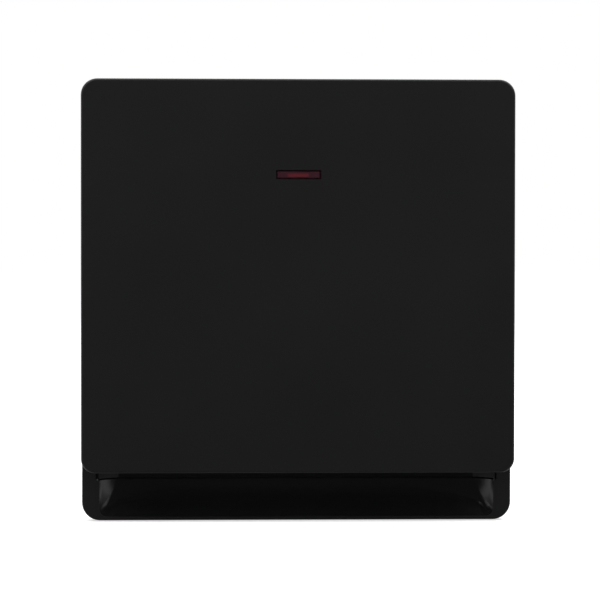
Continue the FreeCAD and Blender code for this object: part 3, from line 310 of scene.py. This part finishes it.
def makeWallEase(tree, parts, x, look):  # eases the scoop's side walls into its floor and rounds their rims
    deep = mapRange(tree, parts["Y"], look["wallFront"], look["wallFront"] + look["wallDeep"], 0.0, 1.0, False)
    inward = mathNode(tree, "DIVIDE", mathNode(tree, "SUBTRACT", look["wallSide"], x), look["wallLean"])
    beyond = mathNode(tree, "SUBTRACT", inward, deep)
    fall = mapRange(tree, beyond, look["easeFrom"], look["easeTo"], 1.0, 0.0, False)
    rim = mapRange(tree, deep, 0.0, look["rimShare"], 1.0, 0.0, False)
    full = mapRange(tree, parts["Z"], look["wallFoot"], look["wallFull"], 0.0, 1.0)
    ease = product(tree, fall, fall, deep, look["easeHigh"])
    return product(tree, mathNode(tree, "SUBTRACT", ease, product(tree, rim, rim, look["rimHigh"])), full)


def makeSurroundFinish(look):  # matt, but smoother inside the scoop, where painted shade darkens the colour
    finish, tree, shader, place, grain = startMoulding("surroundBlack", look)
    parts = splitPlace(tree, place)
    x = mathNode(tree, "ABSOLUTE", parts["X"])
    soft = look["scoopSoft"]
    inside = mapRange(tree, x, look["scoopSide"], look["scoopSide"] + soft, 1.0, 0.0)
    below = mapRange(tree, parts["Z"], look["scoopTop"], look["scoopTop"] + soft, 1.0, 0.0)
    above = mapRange(tree, parts["Z"], look["scoopBottom"] - soft, look["scoopBottom"], 0.0, 1.0)
    sunk = mapRange(tree, parts["Y"], look["scoopFront"], look["scoopFront"] + soft, 0.0, 1.0)
    scoop = product(tree, inside, below, above, sunk)
    matt = mathNode(tree, "SUBTRACT", 1.0, scoop)
    # painted shade: the colour inside the scoop is darkened to stand in for the shade in this recess
    paintedShade = mathNode(tree, "SUBTRACT", 1.0, product(tree, scoop, 1.0 - look["scoopPaintedShade"]))
    wire(tree, shaded(tree, look["colour"], product(tree, grain["Shade"], paintedShade)), shader.inputs["Base Color"])
    polished = product(tree, scoop, look["scoopRoughness"])
    rough = mathNode(tree, "ADD", polished, product(tree, matt, grain["Roughness"]))
    wire(tree, rough, shader.inputs["Roughness"])
    bump = addBump(tree, shader, product(tree, grain["Height"], matt), look["bump"], look["bumpDepth"])
    ease = product(tree, makeWallEase(tree, parts, x, look), below)
    addBump(tree, bump, ease, 1.0, 1.0)  # this height is in metres
    return finish


# the lens's glow settings place a painted glow, an emission stripe on the lens that stands in for the lamp's
# light
lensLook = {"colour": (0.034, 0.0095, 0.0145), "grainScale": 3000.0, "cloudScale": 400.0, "shadeSpread": 0.12,
            "roughness": 0.22, "roughSpread": 0.04, "gloss": 0.5, "coat": 0.2, "bump": 0.15,
            "bumpDepth": 0.01 * mm, "paintedGlowColour": (0.060, 0.0022, 0.0030),
            "paintedGlowMiddle": {"X": -0.10 * mm, "Z": 24.98 * mm},
            "paintedGlowHalf": {"X": 1.95 * mm, "Z": 0.19 * mm}, "paintedGlowSoft": 0.33 * mm}


def makeLensFinish(look):  # red, with a painted glow: a faint stripe that the lens emits itself, standing in for the neon lamp's light behind it
    finish, tree, shader, place, grain = startMoulding("redLens", look)
    shader.inputs["Coat Weight"].default_value = look["coat"]
    parts = splitPlace(tree, place)
    paintedGlow = []
    for axis, half in look["paintedGlowHalf"].items():
        away = mathNode(tree, "ABSOLUTE", mathNode(tree, "SUBTRACT", parts[axis], look["paintedGlowMiddle"][axis]))
        paintedGlow.append(mapRange(tree, away, half - look["paintedGlowSoft"] / 2, half + look["paintedGlowSoft"], 1.0, 0.0))
    # painted glow: the stripe is emission on the lens surface, not light from the lamp
    wire(tree, mixColour(tree, product(tree, *paintedGlow), (0.0, 0.0, 0.0), look["paintedGlowColour"]),
         shader.inputs["Emission Color"])
    shader.inputs["Emission Strength"].default_value = 1.0
    addBump(tree, shader, grain["Height"], look["bump"], look["bumpDepth"])
    return finish


guideLook = {"colour": (0.55, 0.05, 0.05), "grainScale": 1800.0, "cloudScale": 300.0, "shadeSpread": 0.05,
             "roughness": 0.12, "roughSpread": 0.03, "gloss": 0.5, "transmission": 0.85, "ior": 1.5}
glassLook = {**guideLook, "colour": (0.97, 0.95, 0.92), "roughness": 0.03}


def makeClearFinish(name, look):
    finish, tree, shader = startMoulding(name, look)[:3]
    shader.inputs["Transmission Weight"].default_value = look["transmission"]
    shader.inputs["IOR"].default_value = look["ior"]
    return finish


resistorLook = {**whiteLook, "colour": (0.62, 0.47, 0.30), "roughness": 0.3, "bandHalf": 0.035, "bandSoft": 0.01,
                "bands": {-0.30: (0.35, 0.02, 0.01), -0.12: (0.02, 0.02, 0.02), 0.06: (0.75, 0.55, 0.03),
                          0.28: (0.55, 0.38, 0.12)}}


def makeResistorFinish(look):  # bands stand at shares of its length, from the middle
    finish, tree, shader, place, grain = startMoulding("resistorCoat", look)
    low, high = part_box("neon_resistor")
    axis = max(range(3), key=lambda i: high[i] - low[i])
    away = mathNode(tree, "SUBTRACT", splitPlace(tree, place)[axis], (low[axis] + high[axis]) / 2)
    along = mathNode(tree, "DIVIDE", away, high[axis] - low[axis])
    colour = shaded(tree, look["colour"], grain["Shade"])
    for spot, paint in look["bands"].items():
        near = mathNode(tree, "ABSOLUTE", mathNode(tree, "SUBTRACT", along, spot))
        band = mapRange(tree, near, look["bandHalf"], look["bandHalf"] + look["bandSoft"], 1.0, 0.0)
        colour = mixColour(tree, band, colour, paint)
    wire(tree, colour, shader.inputs["Base Color"])
    addBump(tree, shader, grain["Height"], look["bump"], look["bumpDepth"])
    return finish


finishes = {
    "plateBlack": makeMoulding("plateBlack", plateLook),
    "surroundBlack": makeSurroundFinish(surroundLook),
    "innerBlack": makeMoulding("innerBlack", innerLook),
    "redLens": makeLensFinish(lensLook),
    "redGuide": makeClearFinish("redGuide", guideLook),
    "bodyWhite": makeMoulding("bodyWhite", whiteLook),
    "housingGrey": makeMoulding("housingGrey", greyLook),
    "platedSteel": makeMetal("platedSteel", steelLook),
    "springSteel": makeMetal("springSteel", springLook),
    "contactSilver": makeMetal("contactSilver", silverLook),
    "armCopper": makeMetal("armCopper", copperLook),
    "terminalBrass": makeMetal("terminalBrass", brassLook),
    "lampGlass": makeClearFinish("lampGlass", glassLook),
    "resistorCoat": makeResistorFinish(resistorLook),
}

finishOfSlot = {
    "black_moulding": "plateBlack", "black_inner_moulding": "innerBlack", "red_lens": "redLens",
    "clear_moulding": "redGuide", "white_moulding": "bodyWhite", "grey_housing": "housingGrey",
    "steel": "platedSteel", "spring_steel": "springSteel", "silver": "contactSilver", "copper": "armCopper",
    "brass_metal": "terminalBrass", "lamp_glass": "lampGlass", "resistor_body": "resistorCoat",
}
for part in frame["record"]["subparts"]:
    name = "surroundBlack" if part["node"] == "surround_frame" else finishOfSlot[part["material_slot"]]
    mesh = nodes[part["node"]].data
    if not mesh.materials:
        mesh.materials.append(finishes[name])
    for index in range(len(mesh.materials)):
        mesh.materials[index] = finishes[name]
print("finishes on every part")


# Small pieces: springs, screw threads and the inside of the lamp

def startPieceTree(name, inputs):
    tree = bpy.data.node_groups.new(name, "GeometryNodeTree")
    tree.interface.new_socket("Geometry", in_out="INPUT", socket_type="NodeSocketGeometry")
    kinds = {"Steps": "NodeSocketInt", "Sides": "NodeSocketInt", "Turn": "NodeSocketVector",
             "Finish": "NodeSocketMaterial"}
    for label in (*inputs, *kinds):
        kind = kinds.get(label, "NodeSocketFloat")
        tree.interface.new_socket(label, in_out="INPUT", socket_type=kind)
    tree.interface.new_socket("Geometry", in_out="OUTPUT", socket_type="NodeSocketGeometry")
    return tree, tree.nodes.new("NodeGroupInput").outputs, tree.nodes.new("NodeGroupOutput").inputs


def sweepAndPlace(tree, given, out, curve, radius):  # a ring along the curve, set at every point
    ring = tree.nodes.new("GeometryNodeCurvePrimitiveCircle")
    wire(tree, given["Sides"], ring.inputs["Resolution"])
    wire(tree, radius, ring.inputs["Radius"])
    sweep = tree.nodes.new("GeometryNodeCurveToMesh")
    sweep.inputs["Fill Caps"].default_value = True
    wire(tree, curve, sweep.inputs["Curve"])
    wire(tree, ring.outputs[0], sweep.inputs["Profile Curve"])
    place = tree.nodes.new("GeometryNodeInstanceOnPoints")
    wire(tree, given["Geometry"], place.inputs["Points"])
    wire(tree, sweep.outputs[0], place.inputs["Instance"])
    wire(tree, given["Turn"], place.inputs["Rotation"])
    real = tree.nodes.new("GeometryNodeRealizeInstances")
    wire(tree, place.outputs[0], real.inputs[0])
    dress = tree.nodes.new("GeometryNodeSetMaterial")
    wire(tree, real.outputs[0], dress.inputs["Geometry"])
    wire(tree, given["Finish"], dress.inputs["Material"])
    wire(tree, dress.outputs[0], out["Geometry"])


def makeThreadTree():  # a helical ridge round a screw
    tree, given, out = startPieceTree("screwThread", ("Core Radius", "Pitch", "Length", "Depth"))
    spiral = tree.nodes.new("GeometryNodeCurveSpiral")
    wire(tree, given["Steps"], spiral.inputs["Resolution"])
    wire(tree, mathNode(tree, "DIVIDE", given["Length"], given["Pitch"]), spiral.inputs["Rotations"])
    wire(tree, given["Core Radius"], spiral.inputs["Start Radius"])
    wire(tree, given["Core Radius"], spiral.inputs["End Radius"])
    wire(tree, given["Length"], spiral.inputs["Height"])
    upright = tree.nodes.new("GeometryNodeSetCurveNormal")
    upright.mode = "Z_UP"
    wire(tree, spiral.outputs[0], upright.inputs["Curve"])
    sweepAndPlace(tree, given, out, upright.outputs[0], given["Depth"])
    return tree


def makeSpringTree():  # a compression spring whose end turns lie close
    tree, given, out = startPieceTree("coilSpring", (
        "Coil Radius", "Wire Radius", "Length", "Turns", "Closed Turns", "Closed Pitch"))
    line = tree.nodes.new("GeometryNodeCurvePrimitiveLine")
    points = tree.nodes.new("GeometryNodeResampleCurve")
    wire(tree, line.outputs[0], points.inputs["Curve"])
    wire(tree, given["Steps"], points.inputs["Count"])
    along = tree.nodes.new("GeometryNodeSplineParameter").outputs["Factor"]
    firstEnd = mathNode(tree, "DIVIDE", given["Closed Turns"], given["Turns"])
    lastStart = mathNode(tree, "SUBTRACT", 1.0, firstEnd)
    closedHigh = product(tree, given["Closed Turns"], given["Closed Pitch"])
    middleHigh = mathNode(tree, "SUBTRACT", given["Length"], product(tree, closedHigh, 2.0))
    low = mapRange(tree, along, 0.0, firstEnd, 0.0, closedHigh, False)
    middle = mapRange(tree, along, firstEnd, lastStart, 0.0, middleHigh)
    top = mapRange(tree, along, lastStart, 1.0, 0.0, closedHigh, False)
    angle = product(tree, along, given["Turns"], 2 * math.pi)
    spot = tree.nodes.new("ShaderNodeCombineXYZ")
    for socket, turn in zip(spot.inputs, ("COSINE", "SINE")):
        wire(tree, product(tree, mathNode(tree, turn, angle), given["Coil Radius"]), socket)
    wire(tree, mathNode(tree, "ADD", mathNode(tree, "ADD", low, top), middle), spot.inputs["Z"])
    wound = tree.nodes.new("GeometryNodeSetPosition")
    wire(tree, points.outputs[0], wound.inputs["Geometry"])
    wire(tree, spot.outputs[0], wound.inputs["Position"])
    sweepAndPlace(tree, given, out, wound.outputs[0], given["Wire Radius"])
    return tree


def bakeTree(name, points, tree, values):
    seed = bpy.data.meshes.new(name + "Points")
    seed.from_pydata(points, [], [])
    maker = bpy.data.objects.new(name + "Maker", seed)
    bpy.context.scene.collection.objects.link(maker)
    modifier = maker.modifiers.new("maker", "NODES")
    modifier.node_group = tree
    for socket in tree.interface.items_tree:
        if socket.in_out == "INPUT" and socket.name in values:
            modifier[socket.identifier] = values[socket.name]
    shown = maker.evaluated_get(bpy.context.evaluated_depsgraph_get())
    mesh = bpy.data.meshes.new_from_object(shown)
    mesh.name = name
    bpy.data.objects.remove(maker)
    return mesh


def addPiece(name, mesh, body):
    piece = bpy.data.objects.new(name, mesh)
    bpy.context.scene.collection.objects.link(piece)
    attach(piece, body)
    return piece


threads = {
    "housingScrewThreads": {"screws": "housing_screws", "headRadius": 2.5 * mm, "start": 2.2 * mm,
                            "long": 13.2 * mm, "core": 1.02 * mm, "pitch": 0.9 * mm, "depth": 0.2 * mm,
                            "steps": 28, "sides": 4},
    "terminalScrewThreads": {"screws": "terminal_screws", "headRadius": 2.3 * mm, "start": 0.3 * mm,
                             "long": 3.1 * mm, "core": 1.66 * mm, "pitch": 0.7 * mm, "depth": 0.17 * mm,
                             "steps": 36, "sides": 4},
}


def makeThreads():
    tree = makeThreadTree()
    for name, look in threads.items():
        low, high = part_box(look["screws"])
        points = [(x, low[1] + look["start"], z)
                  for x in (low[0] + look["headRadius"], high[0] - look["headRadius"])
                  for z in (low[2] + look["headRadius"], high[2] - look["headRadius"])]
        mesh = bakeTree(name, points, tree, {
            "Core Radius": look["core"], "Pitch": look["pitch"], "Length": look["long"], "Depth": look["depth"],
            "Steps": look["steps"], "Sides": look["sides"], "Turn": (-math.pi / 2, 0.0, 0.0),
            "Finish": finishes["platedSteel"]})
        addPiece(name, mesh, "root")
        print(name, "cut on", len(points), "screws")


contactSpring = {"body": "tumbler", "base": 1.6 * mm, "long": 5.1 * mm, "lean": math.radians(12),
                 "coil": 0.75 * mm, "wire": 0.18 * mm, "turns": 7.5, "closedTurns": 0.75,
                 "closedPitch": 2.05, "steps": 240, "sides": 12, "travel": 0.8 * mm}
springs = {  # closedPitch counts in wire radii
    "pushSpring": {"node": "push_spring", "joint": "push_rod_slide", "body": "root", "long": 5.4 * mm,
                   "coil": 4.2 * mm, "wire": 0.4 * mm, "turns": 3.5, "closedTurns": 0.5,
                   "closedPitch": 2.05, "steps": 168, "sides": 12, "travel": 1.9 * mm},
    "contactSpringLine": {**contactSpring, "node": "contact_spring_line", "joint": "contact_plunger_line_slide"},
    "contactSpringNeutral": {**contactSpring, "node": "contact_spring_neutral",
                             "joint": "contact_plunger_neutral_slide"},
}


def springSeat(look):  # where a spring's fixed end rests, and the way that it points
    low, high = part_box(look["node"])
    x = (low[0] + high[0]) / 2
    if look["body"] == "root":
        return Vector((x, high[1], (low[2] + high[2]) / 2)), Vector((0.0, -1.0, 0.0))
    pinLow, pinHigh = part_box("tumbler_pin")
    pin = Vector((x, (pinLow[1] + pinHigh[1]) / 2, (pinLow[2] + pinHigh[2]) / 2))
    way = Vector((0.0, math.cos(look["lean"]), -math.sin(look["lean"])))
    return pin + way * look["base"], way


def makeSprings():
    tree = makeSpringTree()
    for name, look in springs.items():
        seat, way = springSeat(look)
        turn = Vector((0.0, 0.0, 1.0)).rotation_difference(way).to_euler()
        mesh = bakeTree(name, [seat + way * look["wire"]], tree, {
            "Coil Radius": look["coil"], "Wire Radius": look["wire"], "Length": look["long"] - 2 * look["wire"],
            "Turns": look["turns"], "Closed Turns": look["closedTurns"],
            "Closed Pitch": look["closedPitch"] * look["wire"], "Steps": look["steps"], "Sides": look["sides"],
            "Turn": tuple(turn), "Finish": finishes["springSteel"]})
        mesh.shade_smooth()
        piece = addPiece(name, mesh, look["body"])
        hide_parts(look["node"])
        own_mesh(piece)
    print("springs wound:", len(springs))


electrodes = {"rodRadius": 0.32 * mm, "apart": 0.55 * mm, "reach": 6.4 * mm, "inset": 0.35 * mm, "sides": 20,
              "footShare": 0.5, "tipRings": 5, "tipShare": 0.97, "pinchRadius": 0.75 * mm, "pinchLong": 0.9 * mm,
              "waistShare": 0.9, "endShare": 0.8}


def turnedForm(mesh, profile, spot, way, sides):  # turns a profile of (along, radius) about an axis along X
    rings = []
    for along, radius in profile:
        ring = [mesh.verts.new((spot[0] + way * along, spot[1] + radius * math.cos(2 * math.pi * k / sides),
                                spot[2] + radius * math.sin(2 * math.pi * k / sides))) for k in range(sides)]
        rings.append(ring)
    for first, second in zip(rings, rings[1:]):
        for k in range(sides):
            mesh.faces.new((first[k], first[(k + 1) % sides], second[(k + 1) % sides], second[k]))
    mesh.faces.new(list(reversed(rings[0])))
    mesh.faces.new(rings[-1])


def makeElectrodes(look):
    low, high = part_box("neon_lamp")
    middle = [(a + b) / 2 for a, b in zip(low, high)]
    radius, long = look["rodRadius"], look["pinchLong"]
    turns = [math.pi / 2 * look["tipShare"] * k / look["tipRings"] for k in range(look["tipRings"] + 1)]
    tip = [(look["reach"] + radius * math.sin(turn), radius * math.cos(turn)) for turn in turns]
    rod = [(0.0, radius * look["footShare"]), (radius, radius), *tip]
    pinch = [(0.0, look["pinchRadius"]), (long / 2, look["pinchRadius"] * look["waistShare"]),
             (long, radius * look["endShare"])]
    form = bmesh.new()
    for way, end in ((1, low[0]), (-1, high[0])):
        foot = end + way * look["inset"]
        turnedForm(form, rod, (foot, middle[1], middle[2] + way * look["apart"]), way, look["sides"])
        turnedForm(form, pinch, (foot, middle[1], middle[2]), way, look["sides"])
    bmesh.ops.recalc_face_normals(form, faces=form.faces)
    mesh = bpy.data.meshes.new("lampElectrodes")
    form.to_mesh(mesh)
    form.free()
    mesh.shade_smooth()
    mesh.materials.append(finishes["springSteel"])
    addPiece("lampElectrodes", mesh, "root")
    print("lamp electrodes in place")


makeThreads()
makeSprings()
makeElectrodes(electrodes)


# Studio

studio = {"floorSize": 6.0, "floorGap": 0.2 * mm, "floorColour": 0.9, "floorRoughness": 0.9, "shadowDepth": 0.45,
          "skyLight": 0.55, "darkSide": 0.03, "darkFrom": 0.42, "darkTo": 0.2,
          "underSide": 0.2, "underFrom": -0.05, "underTo": -0.3, "underNear": 0.25, "underFar": 0.6}


def makeSky(look):  # white to the camera, darker in reflections of the front and the ground
    world = bpy.data.worlds.new("studioSky")
    bpy.context.scene.world = world
    world.use_nodes = True
    tree = world.node_tree
    sky = tree.nodes["Background"]
    rays = tree.nodes.new("ShaderNodeLightPath").outputs
    parts = splitPlace(tree, tree.nodes.new("ShaderNodeTexCoord").outputs["Generated"])
    facing = mathNode(tree, "MULTIPLY", parts["Y"], -1.0)
    side = mathNode(tree, "ABSOLUTE", parts["X"])
    front = mapRange(tree, facing, look["darkTo"], look["darkFrom"], 1.0, look["darkSide"])
    below = mapRange(tree, parts["Z"], look["underTo"], look["underFrom"], 1.0, 0.0)
    middle = mapRange(tree, side, look["underNear"], look["underFar"], 1.0, 0.0)
    under = product(tree, below, middle, 1.0 - look["underSide"])
    seen = product(tree, rays["Is Glossy Ray"], front, mathNode(tree, "SUBTRACT", 1.0, under))
    plain = mathNode(tree, "MAXIMUM", rays["Is Camera Ray"], rays["Is Transmission Ray"])
    direct = mathNode(tree, "MAXIMUM", plain, rays["Is Glossy Ray"])
    other = product(tree, mathNode(tree, "SUBTRACT", 1.0, direct), look["skyLight"])
    wire(tree, mathNode(tree, "ADD", mathNode(tree, "MAXIMUM", seen, plain), other), sky.inputs["Strength"])
    sky.inputs["Color"].default_value = (1.0, 1.0, 1.0, 1.0)


def makeFloor(look):  # pale from above, clear from below
    size = look["floorSize"] / 2
    level = cadBox[0].z - look["floorGap"]
    mesh = bpy.data.meshes.new("floor")
    corners = [(-size, -size, level), (size, -size, level), (size, size, level), (-size, size, level)]
    mesh.from_pydata(corners, [], [(0, 1, 2, 3)])
    floor = bpy.data.objects.new("floor", mesh)
    bpy.context.scene.collection.objects.link(floor)
    finish, tree, shader = startFinish("paleFloor")[:3]
    tone = look["floorColour"]
    shader.inputs["Base Color"].default_value = (tone, tone, tone, 1.0)
    shader.inputs["Roughness"].default_value = look["floorRoughness"]
    shader.inputs["Specular IOR Level"].default_value = 0.0
    shader.inputs["Emission Color"].default_value = (1.0, 1.0, 1.0, 1.0)
    rays = tree.nodes.new("ShaderNodeLightPath").outputs
    mirrored = mathNode(tree, "MAXIMUM", rays["Is Glossy Ray"], rays["Is Transmission Ray"])
    lift = product(tree, mathNode(tree, "MAXIMUM", rays["Is Camera Ray"], mirrored), 1.0 - look["shadowDepth"])
    wire(tree, lift, shader.inputs["Emission Strength"])
    side = tree.nodes.new("ShaderNodeNewGeometry")
    clear = tree.nodes.new("ShaderNodeBsdfTransparent")
    blend = tree.nodes.new("ShaderNodeMixShader")
    wire(tree, side.outputs["Backfacing"], blend.inputs[0])
    wire(tree, shader.outputs[0], blend.inputs[1])
    wire(tree, clear.outputs[0], blend.inputs[2])
    wire(tree, blend.outputs[0], tree.nodes["Material Output"].inputs["Surface"])
    mesh.materials.append(finish)
    floor.visible_glossy = False  # the sky stands in for it in reflections


lamps = {
    "keyLamp": {"spot": (-0.5, -0.5, 0.85), "size": 0.8, "power": 5.0},
    "fillLamp": {"spot": (0.6, -0.45, 0.8), "size": 0.7, "power": 3.6},
    "backLamp": {"spot": (0.1, 0.7, 0.6), "size": 0.8, "power": 3.0},
}


def makeLamps():  # square soft boxes that face the switch
    for name, look in lamps.items():
        light = bpy.data.lights.new(name, "AREA")
        light.size = look["size"]
        light.energy = look["power"]
        lamp = bpy.data.objects.new(name, light)
        bpy.context.scene.collection.objects.link(lamp)
        lamp.location = look["spot"]
        lamp.rotation_euler = (-Vector(look["spot"])).to_track_quat("-Z", "Y").to_euler()


cameraLook = {"spot": (-25.48 * mm, -591.83 * mm, 15.8 * mm), "yaw": 0.04438, "pitch": -0.02668,
              "roll": -0.00141, "lens": 176.07, "sensor": 36.0, "nearest": 0.01, "furthest": 20.0}


def makeCamera(look):
    data = bpy.data.cameras.new("camera")
    data.sensor_width = look["sensor"]
    data.lens = look["lens"]
    data.clip_start = look["nearest"]
    data.clip_end = look["furthest"]
    camera = bpy.data.objects.new("camera", data)
    bpy.context.scene.collection.objects.link(camera)
    camera.location = look["spot"]
    turn = Matrix.Rotation(-look["yaw"], 3, "Z") @ Matrix.Rotation(look["pitch"], 3, "X")
    turn = turn @ Matrix.Rotation(math.pi / 2, 3, "X") @ Matrix.Rotation(-look["roll"], 3, "Z")
    camera.rotation_euler = turn.to_euler()
    bpy.context.scene.camera = camera


makeSky(studio)
makeFloor(studio)
makeLamps()
makeCamera(cameraLook)
bpy.context.scene.view_settings.view_transform = "Standard"
print("studio ready")
